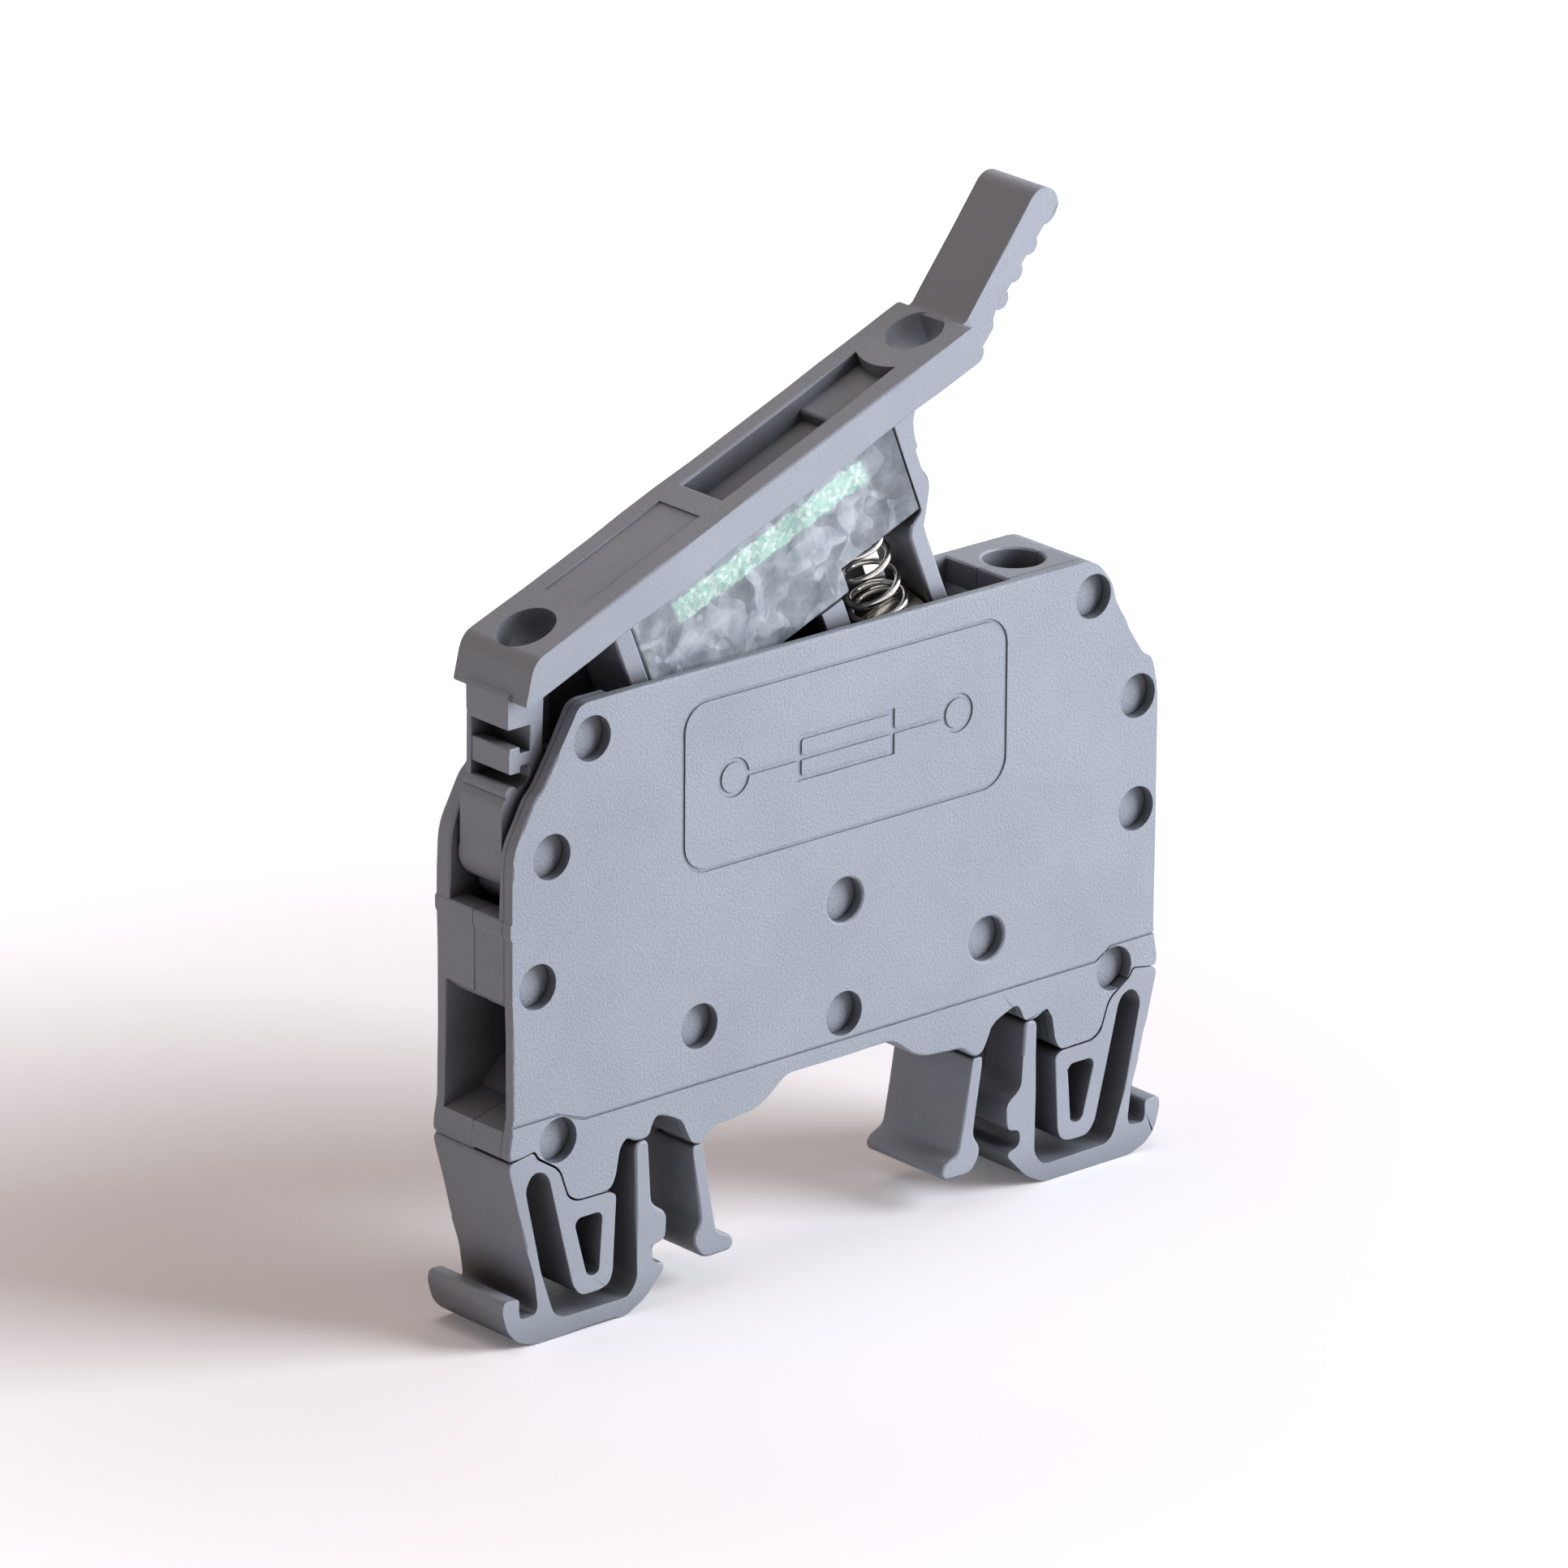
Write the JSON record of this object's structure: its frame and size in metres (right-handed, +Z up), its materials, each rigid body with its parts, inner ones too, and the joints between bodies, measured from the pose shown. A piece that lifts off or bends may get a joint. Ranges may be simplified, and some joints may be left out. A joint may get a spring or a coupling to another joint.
{
  "type": "fuse terminal block",
  "caption": "Narrow DIN rail fuse terminal block in grey plastic, its hinged fuse lever partly open over a clear indicator module, with screw clamps for two wires",
  "frame": {"origin": "middle of the 35 mm rail notch along the wires, middle of the thickness, underside of the feet", "axes": "+X along the wires towards the lever's grip, +Y along the rail away from the pictured face, +Z up from the rail to the lever"},
  "size_m": [0.063, 0.0084, 0.0761],
  "materials": {
    "housing": "spark-eroded grain",
    "clear_plastic": "frosted",
    "board_green": "solder mask",
    "led_lens": "milky",
    "ceramic_black": "matte",
    "tinned_metal": "tin plated",
    "spring_steel": "bright drawn wire",
    "fuse_glass": "polished",
    "nickel": "nickel plated",
    "bronze": "rolled",
    "zinc_steel": "zinc plated"
  },
  "bodies": {
    "base": {"rear_shell": "housing", "front_shell": "housing", "busbar_left": "tinned_metal", "busbar_right": "tinned_metal", "fuse_clip_left": "bronze", "fuse_clip_right": "bronze"},
    "lever": {"lever": "housing", "indicator_cover": "clear_plastic", "indicator_board": "board_green", "indicator_led": "led_lens", "indicator_resistors": "ceramic_black", "indicator_contacts": "tinned_metal", "contact_spring_left": "spring_steel", "contact_spring_right": "spring_steel", "fuse_glass": "fuse_glass", "fuse_cap_left": "nickel", "fuse_cap_right": "nickel", "fuse_wire": "tinned_metal"},
    "clamp_cage_left": {"clamp_cage_left": "zinc_steel"},
    "clamp_cage_right": {"clamp_cage_right": "zinc_steel"},
    "clamp_screw_left": {"clamp_screw_left": "zinc_steel"},
    "clamp_screw_right": {"clamp_screw_right": "zinc_steel"}
  },
  "joints": [
    {"name": "lever_hinge", "type": "hinge", "parent": "base", "child": "lever", "pos_m": [-0.0263, 0, 0.0337], "axis": [0, 1, 0], "range_deg": [-28, 21.7]},
    {"name": "clamp_cage_left_lift", "type": "slide", "parent": "base", "child": "clamp_cage_left", "axis": [0, 0, 1], "range_m": [0, 0.0044]},
    {"name": "clamp_screw_left_turn", "type": "hinge", "parent": "base", "child": "clamp_screw_left", "pos_m": [-0.0192, 0, 0.0348], "axis": [0, 0, -1], "range_deg": [0, 3170]},
    {"name": "clamp_cage_right_lift", "type": "slide", "parent": "base", "child": "clamp_cage_right", "axis": [0, 0, 1], "range_m": [0, 0.0044]},
    {"name": "clamp_screw_right_turn", "type": "hinge", "parent": "base", "child": "clamp_screw_right", "pos_m": [0.02, 0, 0.0348], "axis": [0, 0, -1], "range_deg": [0, 3170]}
  ],
  "couplings": [
    {"joint": "clamp_screw_left_turn", "follows": "clamp_cage_left_lift", "rad_per_m": 12566},
    {"joint": "clamp_screw_right_turn", "follows": "clamp_cage_right_lift", "rad_per_m": 12566}
  ]
}
